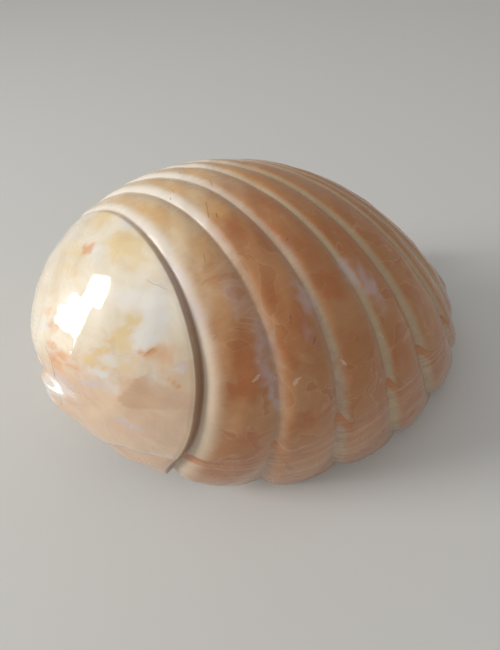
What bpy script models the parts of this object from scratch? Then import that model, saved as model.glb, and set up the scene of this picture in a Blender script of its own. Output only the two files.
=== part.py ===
"""A melon shell (Melo), carved with spiral ribs and polished, lying on its lip.

The shell is one body. Its wall is a band that winds round the coiling axis and grows by the
same factor every turn; the columella, a pillar along that axis, is joined to it.
Metres, +Z up. +X runs from the apex to the anterior end, and the lip is on the -Y side.
"""
import math

import bmesh
import bpy
import numpy as np

# --- driving dimensions -------------------------------------------------------------------
UNIT = 0.200               # length of the last whorl's outline along the coiling axis
TURN_GROWTH = 3.36         # the shell is this many times larger after one whole turn
SIZE_ANGLE = 200.0         # the turn angle at which the outline has its full size, degrees
AXIS_DIP = 7.1             # the axis slopes down toward the anterior end, degrees
APEX_HEIGHT = 0.214        # height of the apex over the resting plane, in UNIT
ORIGIN = (0.09469, -0.02066)  # where the axis starts, seen from the middle of the box, X and Y

# The last whorl's outline: distance along the axis and from it, in UNIT. It starts in the
# wall of the whorl before, runs over the shoulder and the belly and ends at the columella.
OUTLINE = (
    (0.010, 0.030), (-0.005, 0.038), (-0.015, 0.059), (0.003, 0.145), (0.077, 0.266),
    (0.213, 0.382), (0.364, 0.452), (0.532, 0.482), (0.696, 0.469), (0.878, 0.393),
    (1.000, 0.245), (1.070, 0.130), (1.100, 0.040),
)
SUTURE_POINT = 2           # outline point where the position along the outline counts as 0
TIP_POINT = 10             # outline point where it counts as 1

POSTERIOR_EDGE = -0.030    # the wall's edge in the whorl before, as outline position
LIP_CORNER = 1.032         # the wall's anterior edge at the lip
NOTCH_END = 1.165          # and where the siphonal notch has closed on the columella
NOTCH_TURNS = 0.45         # how far back the siphonal notch closes, in turns

SUTURE_ANGLE = 185.0       # the lip meets the whorl before at this turn angle, degrees
LIP_DOWN = 0.435           # outline position from which the lip lies on the resting plane
LIP_RISE_FROM = 0.92       # from here it curves back toward the siphonal notch
LIP_RISE = 0.055           # and its corner lies so much further back, in turns
LIP_RISE_BEND = 2.2        # how late along that stretch most of it comes
LIP_RISE_TURNS = 0.30      # what this does to the rows behind the lip fades out over these

# --- carving ------------------------------------------------------------------------------
# Outline positions where the grooves reach the lip; the last ones end in the siphonal notch.
GROOVES = (0.235, 0.390, 0.530, 0.665, 0.785, 0.930, 1.020, 1.140, 1.260, 1.380, 1.510,
           1.650, 1.800)
GROOVES_AT_LIP = 7
CARVE_DEPTH = 0.105        # depth of a groove, as a part of the rib's width
CAP_STEP = 0.0034          # depth of the first groove, below the smooth cap
CAP_STEP_BACK = 0.36       # the part of it that is left further back, over these turns
CAP_STEP_FADE = (0.14, 0.30)
CAP_WALL = 0.0019          # width of the steep wall under the cap's rim
# How far the cap's rim strays from the first groove's even run: turns back, and position.
RIM_STRAY = ((0.0, 0.004), (0.07, -0.003), (0.13, -0.010), (0.19, -0.006), (0.26, 0.002),
             (0.33, 0.009), (0.45, 0.012))
RIB_COVE = 0.30            # part of a rib's width taken by the cove on its posterior side
RIB_CREST = 0.45           # where the back of a rib starts to fall
CARVED_TURNS = 0.80        # the carving fades out from here under the lip's side
LIP_NICK = 0.0018          # how far a groove nicks the lip's edge

# --- wall ---------------------------------------------------------------------------------
WALL = 0.0056              # wall thickness at the lip's middle
WALL_EDGE = 0.55           # thickness of the wall's two edges, as a part of that
WALL_END = 1.94            # the wall starts this many turns back, in the protoconch

# --- columella and protoconch -------------------------------------------------------------
# Distance along the axis and radius, in UNIT, from the apex to the anterior tip.
PILLAR = ((-0.0150, 0.002), (-0.0135, 0.011), (-0.0080, 0.020), (0.0010, 0.028),
          (0.013, 0.037), (0.030, 0.0450), (0.050, 0.048), (0.072, 0.047), (0.100, 0.046),
          (0.200, 0.054), (0.300, 0.074), (0.380, 0.088), (0.450, 0.085), (0.560, 0.074),
          (0.700, 0.063), (0.800, 0.053), (0.880, 0.043), (0.925, 0.034), (0.950, 0.022),
          (0.960, 0.006))
PILLAR_SIDES = 20
FOLD_PITCH = 0.36          # the folds wind along the axis by this each turn, in UNIT
FOLD_COUNT = 4
FOLD_HEIGHT = 0.014
FOLD_PHASE = 0.10          # in fold spacings
FOLDS_FROM = 0.42          # the folds show from here to there along the axis
FOLDS_TO = 0.84
TWIST = 0.16               # how oval the columella is, winding with its folds

# --- resolution ---------------------------------------------------------------------------
ROWS_LAST_TURN = 42
ROWS_BEFORE = 22
INNER_LINES = 17


def smooth_path(points, count):
    """A natural cubic spline through the points, sampled evenly along its length."""
    points = np.array(points, float)
    chord = np.concatenate([[0.0], np.cumsum(np.linalg.norm(np.diff(points, axis=0), axis=1))])
    gaps = np.diff(chord)
    system = np.eye(len(points))
    rhs = np.zeros_like(points)
    for i in range(1, len(points) - 1):
        system[i, i - 1:i + 2] = gaps[i - 1], 2 * (gaps[i - 1] + gaps[i]), gaps[i]
        rhs[i] = 6 * ((points[i + 1] - points[i]) / gaps[i] - (points[i] - points[i - 1]) / gaps[i - 1])
    bend = np.linalg.solve(system, rhs)
    at = np.linspace(0.0, chord[-1], 1200)
    k = np.clip(np.searchsorted(chord, at, side="right") - 1, 0, len(gaps) - 1)
    left = (chord[k + 1] - at)[:, None]
    right = (at - chord[k])[:, None]
    gap = gaps[k][:, None]
    fine = ((bend[k] * left ** 3 + bend[k + 1] * right ** 3) / (6 * gap)
            + (points[k] / gap - bend[k] * gap / 6) * left
            + (points[k + 1] / gap - bend[k + 1] * gap / 6) * right)
    run = np.concatenate([[0.0], np.cumsum(np.linalg.norm(np.diff(fine, axis=0), axis=1))])
    marks = np.interp(chord, at, run)
    even = np.linspace(0.0, run[-1], count)
    path = np.stack([np.interp(even, run, fine[:, i]) for i in range(2)], axis=1)
    return even, path, marks


RUN, PATH, MARKS = smooth_path(OUTLINE, 900)
POSITION = (RUN - MARKS[SUTURE_POINT]) / (MARKS[TIP_POINT] - MARKS[SUTURE_POINT])
NORMAL = np.gradient(PATH, axis=0)[:, ::-1] * (-1.0, 1.0)
NORMAL /= np.linalg.norm(NORMAL, axis=1)[:, None]
RUN_LENGTH = (MARKS[TIP_POINT] - MARKS[SUTURE_POINT]) * UNIT


def on_outline(position, depth=0.0):
    """The outline's point at a position, moved inward by a depth in UNIT."""
    place = [np.interp(position, POSITION, PATH[:, i]) for i in range(2)]
    out = [np.interp(position, POSITION, NORMAL[:, i]) for i in range(2)]
    return place[0] - depth * out[0], place[1] - depth * out[1]


def ease(value):
    value = np.clip(value, 0.0, 1.0)
    return value * value * (3.0 - 2.0 * value)


def place(angle, along, away):
    """World place of an outline point carried to a turn angle."""
    size = UNIT * TURN_GROWTH ** ((angle - SIZE_ANGLE) / 360.0)
    turn = np.radians(angle)
    dip = math.radians(AXIS_DIP)
    side = away * np.cos(turn) * size
    up = away * np.sin(turn) * size
    x = along * size * math.cos(dip) + up * math.sin(dip)
    z = APEX_HEIGHT * UNIT - along * size * math.sin(dip) + up * math.cos(dip)
    return np.stack([x - ORIGIN[0], side - ORIGIN[1], z], axis=-1)


def lip_angle(position, along, away):
    """Turn angle of the lip: on the resting plane, and rising to the suture behind it."""
    low = np.full(len(along), 165.0)
    high = np.full(len(along), 245.0)
    for _ in range(40):
        middle = (low + high) / 2
        above = place(middle, along, away)[:, 2] > 0.0
        low = np.where(above, middle, low)
        high = np.where(above, high, middle)
    down = ease(position / LIP_DOWN)
    return SUTURE_ANGLE * (1.0 - down) + high * down


def turned_back(position, turns):
    """Turns behind the straight lip, after its anterior corner has been rounded off."""
    part = np.clip((position - LIP_RISE_FROM) / (LIP_CORNER - LIP_RISE_FROM), 0.0, 1.0)
    return turns + LIP_RISE * part ** LIP_RISE_BEND * (1.0 - ease(turns / LIP_RISE_TURNS))


def groove_line(at_lip, turns):
    """Outline position of the groove that reaches the lip at at_lip, so many turns back."""
    half = 2.0 * turns
    if half > 0.9:
        half = 0.9 + 0.35 * (1.0 - math.exp((0.9 - half) / 0.35))
    off = at_lip - 0.6
    sweep = (0.774 - 0.632 * off - 0.114 * off * off) * (1.0 - math.exp(-half / 0.396))
    hook = (0.251 + 0.028 * off) * (math.exp(-half / 0.12) - 1.0)
    return at_lip + sweep + hook - 0.654 * half


def rib_cove(part):
    return max(0.0, 1.0 - part / RIB_COVE) ** 2


def rib_back(part):
    return max(0.0, (part - RIB_CREST) / (1.0 - RIB_CREST)) ** 2.6


def groove_lines(turns):
    """Outline positions of all grooves, so many turns back. The first is the cap's rim."""
    lines = [groove_line(at_lip, turns) for at_lip in GROOVES]
    lines[0] += np.interp(turns, [r[0] for r in RIM_STRAY], [r[1] for r in RIM_STRAY])
    return lines


def anterior_edge(turns):
    return LIP_CORNER + (NOTCH_END - LIP_CORNER) * float(ease(turns / NOTCH_TURNS))


def groove_depths(lines, turns):
    """Depth of each groove in UNIT, before it shrinks with its whorl."""
    fade = float(1.0 - ease((turns - CARVED_TURNS) / 0.15))
    widths = np.diff(lines)
    widths = np.append(widths, widths[-1])
    depths = CARVE_DEPTH * widths * RUN_LENGTH / UNIT * fade
    back = float(ease((turns - CAP_STEP_FADE[0]) / (CAP_STEP_FADE[1] - CAP_STEP_FADE[0])))
    depths[0] = CAP_STEP / UNIT * fade * (1.0 - (1.0 - CAP_STEP_BACK) * back)
    return depths


def carved_line(turns):
    """Outline positions and carved depths across the outside of the last turn."""
    lines = groove_lines(turns)
    depths = groove_depths(lines, turns)
    rim = lines[0] - CAP_WALL / RUN_LENGTH
    line = [(POSTERIOR_EDGE, 0.0), (-0.005, 0.0)]
    line += [(0.03 + (rim - 0.03) * k / 5, 0.0) for k in range(6)]
    line.append((lines[0], depths[0]))
    for j in range(GROOVES_AT_LIP - 1):
        for part in (0.13, 0.34, 0.72, 1.0):
            depth = depths[j] * rib_cove(part) + depths[j + 1] * rib_back(part)
            line.append((lines[j] + (lines[j + 1] - lines[j]) * part, depth))
    edge = anterior_edge(turns)
    left = 2 * (len(lines) - GROOVES_AT_LIP) + 5
    gap = min(0.001, (edge - line[-1][0]) / left)
    for j in range(GROOVES_AT_LIP, len(lines)):
        for at, depth in (((lines[j - 1] + lines[j]) / 2, 0.0), (lines[j], depths[j])):
            left -= 1
            limit = edge - gap * left
            line.append((min(at, limit), depth * float(ease(1.0 - (at - limit) / 0.02))))
    start = line[-1][0]
    line += [(start + (edge - start) * k / 5, 0.0) for k in range(1, 6)]
    line = np.array(line)
    return line[:, 0], line[:, 1] * ease((edge - line[:, 0]) / 0.035)


def plain_line(turns, count):
    """Outline positions across an uncarved sheet, closer together at its curved edges."""
    edge = anterior_edge(turns)
    even = np.linspace(0.0, 1.0, count)
    spread = even - 0.07 * np.sin(2.0 * math.pi * even)
    return POSTERIOR_EDGE + (edge - POSTERIOR_EDGE) * spread


def wall_rows():
    """For each row, the places across the outside and those across the inside."""
    last = np.linspace(0.0, 1.0, ROWS_LAST_TURN, endpoint=False)
    before = np.linspace(1.0, WALL_END, ROWS_BEFORE)
    for turns in np.concatenate([last, before]):
        turns = float(turns)
        size = TURN_GROWTH ** -turns
        if turns < 1.0:
            positions, depths = carved_line(turns)
        else:
            positions = plain_line(turns, INNER_LINES)
            depths = np.zeros(INNER_LINES)
        along, away = on_outline(positions, depths)
        angles = lip_angle(positions, along, away) - 360.0 * turned_back(positions, turns)
        if turns == 0.0:
            nick = depths / depths.max() * ease((1.0 - positions) / 0.10)
            angles -= np.degrees(LIP_NICK / (0.45 * UNIT)) * nick
        outer = place(angles, along, away)
        inside = plain_line(turns, INNER_LINES)
        middle = ease((inside - POSTERIOR_EDGE) / 0.35) * ease((inside[-1] - inside) / 0.10)
        thick = WALL / UNIT * (WALL_EDGE + (1.0 - WALL_EDGE) * middle) * size ** -0.25
        along, away = on_outline(inside, thick)
        angles = lip_angle(inside, along, away) - 360.0 * turned_back(inside, turns)
        inner = place(angles, along, away)
        yield outer, inner


def zip_lines(bm, first, second):
    """Join two lines of points with triangles, each time along the shorter diagonal."""
    i = j = 0
    while i < len(first) - 1 or j < len(second) - 1:
        step_first = j == len(second) - 1
        if not step_first and i < len(first) - 1:
            across = (first[i + 1].co - second[j].co).length
            step_first = across < (first[i].co - second[j + 1].co).length
        if step_first:
            bm.faces.new((first[i], first[i + 1], second[j]))
            i += 1
        else:
            bm.faces.new((second[j + 1], second[j], first[i]))
            j += 1


def join_lines(bm, first, second):
    for a, b, c, d in zip(first, first[1:], second[1:], second):
        bm.faces.new((a, b, c, d))


def build_wall():
    bm = bmesh.new()
    rows = []
    for outer, inner in wall_rows():
        rows.append(([bm.verts.new(p) for p in outer], [bm.verts.new(p) for p in inner]))
    for (outer_a, inner_a), (outer_b, inner_b) in zip(rows, rows[1:]):
        if len(outer_a) == len(outer_b):
            join_lines(bm, outer_a, outer_b)
        else:
            zip_lines(bm, outer_a, outer_b)
        join_lines(bm, inner_b, inner_a)
        for end in (0, -1):
            bm.faces.new((outer_b[end], outer_a[end], inner_a[end], inner_b[end]))
    zip_lines(bm, *rows[0])
    zip_lines(bm, *rows[-1])
    return finish_mesh(bm, "wall")


def pillar_radius(along, angle):
    """Radius of the columella, with its folds winding as the shell grew."""
    base = float(np.interp(along, [p[0] for p in PILLAR], [p[1] for p in PILLAR]))
    turns = along / FOLD_PITCH - angle / 360.0
    oval = TWIST * float(ease((along - 0.30) / 0.20)) * math.cos(2.0 * math.pi * (turns + 0.25))
    shown = float(ease((along - FOLDS_FROM) / 0.10) * ease((FOLDS_TO - along) / 0.12))
    phase = (turns * FOLD_COUNT + FOLD_PHASE) % 1.0 - 0.5
    fold = max(0.0, 1.0 - (phase / 0.38) ** 2) ** 2
    return base * (1.0 + oval) + FOLD_HEIGHT * shown * fold


def build_pillar():
    """Rings of points round the columella, so far apart that the folds run through them."""
    step = FOLD_PITCH / PILLAR_SIDES
    stations = [p[0] for p in PILLAR[:10]]
    stations += [0.27 + step * k for k in range(36)]
    stations += [p[0] for p in PILLAR[17:]]
    bm = bmesh.new()
    rings = []
    for along in stations:
        ring = []
        for k in range(PILLAR_SIDES):
            angle = SIZE_ANGLE - 360.0 * k / PILLAR_SIDES
            size = TURN_GROWTH ** (-k / PILLAR_SIDES)
            radius = pillar_radius(along, angle)
            point = place(np.float64(angle), along / size, radius / size)
            ring.append(bm.verts.new(point))
        rings.append(ring)
    for near, far in zip(rings, rings[1:]):
        for k in range(PILLAR_SIDES):
            j = (k + 1) % PILLAR_SIDES
            bm.faces.new((near[k], far[k], near[j]))
            bm.faces.new((far[k], far[j], near[j]))
    bm.faces.new(rings[0])
    bm.faces.new(rings[-1][::-1])
    return finish_mesh(bm, "pillar")


def finish_mesh(bm, name):
    bmesh.ops.triangulate(bm, faces=bm.faces, quad_method="SHORT_EDGE")
    bmesh.ops.recalc_face_normals(bm, faces=bm.faces)
    mesh = bpy.data.meshes.new(name)
    bm.to_mesh(mesh)
    bm.free()
    return mesh


def shell_material():
    material = bpy.data.materials.new("polished_shell")
    material.use_nodes = True
    surface = material.node_tree.nodes["Principled BSDF"]
    surface.inputs["Base Color"].default_value = (0.86, 0.60, 0.38, 1.0)
    surface.inputs["Roughness"].default_value = 0.18
    surface.inputs["Metallic"].default_value = 0.0
    return material


def main():
    for old in list(bpy.data.objects):
        bpy.data.objects.remove(old)
    shell = bpy.data.objects.new("shell", build_wall())
    pillar = bpy.data.objects.new("columella_form", build_pillar())
    for piece in (shell, pillar):
        bpy.context.scene.collection.objects.link(piece)
    pillar.hide_render = True
    pillar.display_type = "WIRE"
    join = shell.modifiers.new("join_columella", "BOOLEAN")
    join.operation = "UNION"
    join.solver = "EXACT"
    join.use_self = True
    join.object = pillar
    shell.data.materials.append(shell_material())
    pillar.data.shade_smooth()
    shell.data.shade_smooth()
    shell.data.set_sharp_from_angle(angle=math.radians(35))


main()
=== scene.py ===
"""Looks of the carved and polished melon shell.

The wall is one band that winds round the coiling axis, finely carved. The columella is a
folded pillar along that axis. A place on the wall has two numbers: its outline position runs
from 0 at the suture to 1 at the anterior tip, and its turns run back from 0 at the lip.
Lengths are in metres and angles in degrees, in the part's own frame.
"""
import math

import bpy
import numpy as np
from mathutils import Matrix, Vector


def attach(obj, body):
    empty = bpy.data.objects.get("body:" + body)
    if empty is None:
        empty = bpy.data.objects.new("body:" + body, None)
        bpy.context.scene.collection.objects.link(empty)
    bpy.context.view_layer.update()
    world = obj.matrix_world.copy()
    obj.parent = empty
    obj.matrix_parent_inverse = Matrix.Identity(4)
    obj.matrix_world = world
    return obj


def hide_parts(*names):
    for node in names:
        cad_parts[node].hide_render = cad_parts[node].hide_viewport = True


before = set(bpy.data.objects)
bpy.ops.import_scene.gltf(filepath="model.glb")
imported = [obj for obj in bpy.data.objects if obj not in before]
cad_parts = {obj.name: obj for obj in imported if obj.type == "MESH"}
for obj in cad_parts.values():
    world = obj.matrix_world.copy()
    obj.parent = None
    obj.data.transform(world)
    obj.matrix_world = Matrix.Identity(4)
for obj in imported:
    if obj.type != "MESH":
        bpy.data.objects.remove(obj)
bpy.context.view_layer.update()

MM = 0.001

# --- shape of the shell, as in its CAD ---
UNIT = 0.200  # the length that the outline is drawn in
TURN_GROWTH = 3.36  # one turn makes the outline so many times larger
SIZE_ANGLE = 200.0  # turn angle where it has its drawn size
AXIS_DIP = 7.1  # the coiling axis dips toward the anterior end
APEX_HEIGHT = 0.214  # height of the spiral's pole, in UNIT
ORIGIN = (0.09469, -0.02066)  # the frame's origin, as seen from the pole
# The outline in UNIT: distance along the coiling axis from the pole, and away from the axis.
OUTLINE = (
    (0.01, 0.03), (-0.005, 0.038), (-0.015, 0.059), (0.003, 0.145), (0.077, 0.266),
    (0.213, 0.382), (0.364, 0.452), (0.532, 0.482), (0.696, 0.469), (0.878, 0.393),
    (1.0, 0.245), (1.07, 0.13), (1.1, 0.04),
)
SUTURE_POINT = 2  # its point at position 0
TIP_POINT = 10  # its point at position 1
POSTERIOR_EDGE = -0.030  # the wall starts here, behind the suture
LIP_CORNER = 1.032  # it ends here at the lip
NOTCH_END = 1.165  # and here from NOTCH_TURNS on back
NOTCH_TURNS = 0.45
SUTURE_ANGLE = 185.0  # turn angle of the lip at the suture
LIP_DOWN = 0.435  # from this position on, the lip is on the resting plane
LIP_SEARCH = (165.0, 245.0)  # it meets that plane between these turn angles
LIP_HALVINGS = 40  # its place is found by halving the gap
LIP_RISE_FROM = 0.92  # its anterior corner is rounded off from here
LIP_RISE = 0.055  # by so many turns at its end
LIP_RISE_BEND = 2.2
LIP_RISE_TURNS = 0.30  # the rows are straight again so far back

# Grooves, by the outline position where they reach the lip. The first is the cap's rim.
GROOVES = (0.235, 0.39, 0.53, 0.665, 0.785, 0.93, 1.02, 1.14, 1.26, 1.38, 1.51, 1.65, 1.8)
GROOVES_AT_LIP = 7  # the others end at the anterior edge, further back
# With half turns back a groove hooks, sweeps to the anterior end and winds back, more slowly
# at last. Hook and sweep are series in its distance from the middle one.
GROOVE_MIDDLE = 0.6
HOOK = (0.251, 0.028)
HOOK_OVER = 0.12
SWEEP = (0.774, -0.632, -0.114)
SWEEP_OVER = 0.396
WIND = 0.654
WIND_SLOWS_FROM = 0.9
WIND_SLOWS_OVER = 0.35
# How far the cap's rim strays from its line: turns and outline position.
RIM_STRAY = ((0.0, 0.004), (0.07, -0.003), (0.13, -0.01), (0.19, -0.006), (0.26, 0.002),
             (0.33, 0.009), (0.45, 0.012))
CARVE_DEPTH = 0.105  # depth of a groove, by its rib's width
CARVING_FADES = (0.80, 0.95)  # turns
CARVING_MARGIN = 0.035  # it also fades beside the anterior edge
CAP_STEP = 0.0034  # height of the step under the cap's rim
CAP_STEP_BACK = 0.36  # part of it that is left further back
CAP_STEP_FADE = (0.14, 0.30)
CAP_WALL = 0.0019  # width of the steep wall of that step
CAP_WALL_STRAIGHT = 0.35  # part of its height in a straight slope
CAP_SAG = 0.05  # the cap sags by this part of the step
CAP_SAG_FROM = -1.2  # so many wall widths before the wall
CAP_RIB = 0.10  # the cap counts as a rib of this width
RIB_COVE = 0.30  # part of a rib's width that its cove takes
COVE_BEND = 2.1
RIB_CREST = 0.45  # where the slope to the next groove starts
BACK_BEND = 2.6

WALL = 0.0056  # thickness of the wall
WALL_EDGE = 0.55  # part of it that is left at the edges
WALL_THINS = (0.35, 0.10)  # so far from the posterior and the anterior edge
WALL_POWER = -0.25  # smaller whorls are thicker for their size
WALL_END = 1.94  # the wall ends this many turns back, inside the shell

# Columella: distance along the axis and radius in UNIT.
PILLAR = (
    (-0.015, 0.002), (-0.0135, 0.011), (-0.008, 0.02), (0.001, 0.028), (0.013, 0.037),
    (0.03, 0.045), (0.05, 0.048), (0.072, 0.047), (0.1, 0.046), (0.2, 0.054), (0.3, 0.074),
    (0.38, 0.088), (0.45, 0.085), (0.56, 0.074), (0.7, 0.063), (0.8, 0.053), (0.88, 0.043),
    (0.925, 0.034), (0.95, 0.022), (0.96, 0.006),
)
FOLD_PITCH = 0.36  # the folds wind once round in this length
FOLD_COUNT = 4
FOLD_HEIGHT = 0.014
FOLD_HALF = 0.38  # half a fold's width, by their distance
FOLD_PHASE = 0.10
FOLDS_START = (0.42, 0.52)
FOLDS_STOP = (0.72, 0.84)
OVAL = 0.16  # the pillar's section is oval by this much
OVAL_FROM = (0.30, 0.50)
OVAL_PHASE = 0.25

# --- fine shape ---
GIRTH = 0.565  # once round the shell at the lip's widest part
# The growth check, an old lip line: outline position, and how many turns behind the lip.
CHECK = ((0.0, -0.09), (0.124, 0.008), (0.17, 0.043), (0.22, 0.056), (0.26, 0.064),
         (0.32, 0.072), (0.5, 0.076), (0.6, 0.081), (0.7, 0.089), (0.8, 0.092), (0.9, 0.08),
         (1.0, 0.055), (1.2, 0.03))
CHECK_NOTCH = 0.014  # it runs this much further back where it crosses a groove
CHECK_NOTCH_WIDTH = 0.13  # within this part of the rib's width
CHECK_NOTCHED = (0.26, 0.31)  # and past the cap's rim
CHECK_STEP = 0.35 * MM  # the shell is this much lower on the lip's side of it
CHECK_STEP_MM = (-0.4, 1.2)  # from and to so many mm lipward of it
CHECK_REGAIN = 0.6  # part of the step that is regained
CHECK_REGAIN_MM = (6.0, 20.0)
CREASE = 0.16  # depth and width in mm of the crease along it
CREASE_WIDTH = 0.7
CHECK_ENDS = (0.55, 0.75)  # turns
# Beside the lip the wall flares over the suture, and it is dented behind that. Each fades
# out between two turns, and both between two positions.
FLARE = 1.1 * MM
FLARE_TURNS = (0.070, 0.084)
DENT = 1.5 * MM
DENT_TURNS = (0.110, 0.220)
SUTURE_STRIP = (0.04, 0.10)
SUTURE_TUCK = 0.05  # they come in over so much from the posterior edge
# A tan leaf in the cap: outline position, and its newest and oldest turn.
LEAF = ((0.202, 0.132, 0.134), (0.210, 0.126, 0.141), (0.228, 0.127, 0.151), (0.248, 0.130, 0.162),
        (0.272, 0.132, 0.168), (0.296, 0.133, 0.172), (0.330, 0.134, 0.175))
LEAF_PALER = (0.23, 0.29)  # it gets paler between these positions
LEAF_PALER_BY = 0.6
SLACK = 0.42 * MM  # the polished surface lies this far inside the CAD's facets
# Long ripples in the polish: height and lengths across and back in mm, and phase.
RIPPLES = ((0.108, 61, 90, 0.4), (0.099, -47, 70, 1.9), (0.090, 33, -52, 3.1),
           (0.090, 23, 41, 5.0), (0.072, -17, 29, 2.2), (0.0405, 12, -19, 0.9),
           (0.018, 8, 14, 4.1))
FINE_FROM = (0.02, 0.07)  # the fine shape starts beside the suture
FINE_MARGIN = 0.03  # it ends so far from the anterior edge
FINE_ENDS = (0.85, 1.00)  # and between these turns
LIP_ROUNDING = 2.3 * MM  # length over which the lip is rounded
LIP_MEETING = 0.98  # the inside stops just short of the outside there
LIP_NICK = 1.8 * MM  # a groove cuts this far into the lip's edge
NICK_REACH = 2.2 * MM
NICK_FADES = (0.90, 1.00)
LIP_RADIUS = 0.45  # the lip's mean distance from the axis, in UNIT
LEAST_LEFT = 0.1  # part of the wall that counts as left under a groove
SIDE_WIDTH = 0.03  # the side of a groove is clear so far from it, by its rib's width
FIRST_RIB_END = 2.0  # the first rib's colours fade over so many mm

# --- rows and columns of the meshes ---
LIP_ARC = (0, 18, 36, 54, 72)  # angles of the rows round the lip's edge
ROW_STEPS = ((0.12, 0.0013), (0.40, 0.0022), (0.62, 0.005), (1.00, 0.012))  # until, step
INNER_ROW_EVERY = 5
INNER_COLUMNS = 64
OLD_FROM = 1.006  # turns
OLD_ROWS = 60
OLD_COLUMNS = 60
EDGE_CROWDING = 0.07  # of the columns of plain rows
# Columns of the carved outside, as many in every row: behind the suture, on the cap, by its
# rim, on the ribs, by parts of their width, on those that end before the lip, and at the end.
CAP_START = 0.01
SUTURE_COLUMNS = 6
CAP_COLUMNS = 46
RIM_COLUMNS = 16
RIM_WIDTHS = 2.6  # the columns by the rim cover so many wall widths
RIB_PARTS = np.concatenate([np.linspace(0.0, 0.10, 5)[1:], np.linspace(0.10, 0.84, 15)[1:],
                            np.linspace(0.84, 1.0, 6)[1:]])
FAR_PARTS = np.array([0.08, 0.2, 0.35, 0.5, 0.65, 0.78, 0.9, 1.0])
FAR_GAP = 0.0010
END_COLUMNS = 12
END_WIDTH = 0.004
PILLAR_SIDES = 96
PILLAR_STATIONS = np.concatenate([
    [p[0] for p in PILLAR[:3]], np.linspace(-0.004, 0.27, 40), np.linspace(0.275, 0.90, 140),
    np.linspace(0.905, 0.950, 14), [0.954, 0.9575, PILLAR[-1][0]],
])

# --- markings, by outline position and turns in thousandths, which times metres give mm ---
# Soft patches: position, turns, radii in mm along the outline and round the shell, strength.
AMBER = (
    (284, 314, 4, 5, 0.75), (128, 240, 4, 7, 0.55), (92, 166, 5, 9, 0.85), (106, 200, 4, 9, 0.6),
    (136, 266, 3, 6, 0.5), (284, 187, 5, 2.4, 0.95), (298, 184, 8, 5, 0.55),
    (300, 158, 1.6, 1.3, 0.9), (236, 202, 3, 9, 0.35), (128, 188, 6, 5, 0.45),
    (252, 184, 8, 3, 0.3), (262, 52, 9, 4, 0.5), (410, 162, 5, 9, 0.85), (400, 144, 7, 6, 1.0),
    (424, 178, 4, 9, 0.55), (368, 100, 8, 5, 0.55), (350, 60, 10, 4, 0.4), (512, 168, 5, 7, 0.85),
    (520, 152, 2.2, 2.4, 1.0), (464, 102, 9, 4, 0.75), (494, 184, 4, 12, 0.6),
    (476, 150, 3, 7, 0.6), (588, 178, 5, 6, 0.95), (524, 174, 4, 6, 0.7), (580, 140, 2, 2, 0.7),
    (588, 206, 6, 10, 0.6), (548, 124, 7, 7, 0.4), (652, 112, 6, 7, 0.6), (672, 200, 5, 12, 0.6),
    (640, 212, 5, 12, 0.55), (688, 178, 4, 10, 0.5), (704, 144, 5, 4, 0.7), (548, 235, 6, 12, 0.7),
    (508, 245, 6, 9, 0.75), (590, 256, 6, 9, 0.6), (612, 240, 5, 10, 0.5), (760, 200, 5, 14, 0.6),
    (740, 250, 5, 10, 0.5), (620, 50, 9, 4, 0.5), (700, 60, 8, 4, 0.5), (540, 60, 9, 3, 0.4),
    (120, 182, 6, 5, 0.8), (88, 150, 5, 5, 0.7), (138, 166, 5, 4, 0.6), (146, 236, 3, 8, 0.5),
)
GOLD = (
    (340, 286, 9, 10, 0.9), (352, 340, 8, 9, 0.9), (344, 266, 8, 7, 0.6), (262, 326, 5, 12, 0.6),
    (232, 306, 4, 12, 0.6), (252, 196, 3.2, 9, 0.9), (236, 178, 4, 6, 0.7), (208, 176, 8, 5, 0.5),
    (180, 220, 4, 10, 0.3), (404, 310, 6, 10, 0.8), (426, 288, 5, 10, 0.9), (482, 330, 4, 12, 0.8),
    (486, 308, 4, 10, 0.9), (550, 316, 4, 14, 1.0), (400, 344, 6, 8, 0.6), (610, 300, 4, 14, 0.9),
    (508, 262, 6, 8, 0.8), (440, 250, 5, 10, 0.5), (300, 420, 8, 16, 0.7), (200, 460, 9, 12, 0.6),
    (440, 420, 6, 22, 0.8), (560, 400, 7, 26, 0.9), (680, 360, 7, 22, 0.8), (800, 340, 7, 24, 0.8),
    (500, 520, 7, 26, 0.7), (660, 500, 8, 26, 0.8), (360, 560, 9, 20, 0.7), (820, 520, 7, 26, 0.7),
    (940, 440, 6, 22, 0.7), (216, 192, 4, 2.5, 1.0), (240, 199, 4, 2.5, 1.0),
    (264, 208, 4, 2.5, 1.0), (288, 217, 4, 2.5, 0.8), (184, 180, 4, 3, 0.9),
    (200, 187, 4, 2.5, 0.9), (320, 284, 5, 8, 0.7),
)
MILK = (
    (328, 226, 7, 8, 0.9), (312, 206, 8, 6, 0.7), (300, 238, 9, 7, 0.7), (280, 362, 6, 10, 0.6),
    (296, 300, 5, 10, 0.6), (372, 305, 4, 8, 0.7), (108, 250, 6, 10, 0.7), (276, 164, 4, 6, 0.5),
    (52, 80, 7, 13, 1.0), (84, 100, 8, 9, 0.7), (200, 150, 5, 7, 0.5), (318, 170, 3, 3, 0.6),
    (396, 215, 5, 8, 0.5), (380, 400, 6, 12, 0.5), (240, 400, 7, 14, 0.6), (26, 40, 4, 30, 1.2),
    (192, 164, 5, 3.6, 1.1), (228, 180, 6, 3.2, 1.2), (260, 190, 6, 3.2, 1.2),
    (292, 200, 6, 4, 1.2), (322, 213, 6, 5, 1.1),
)
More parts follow.
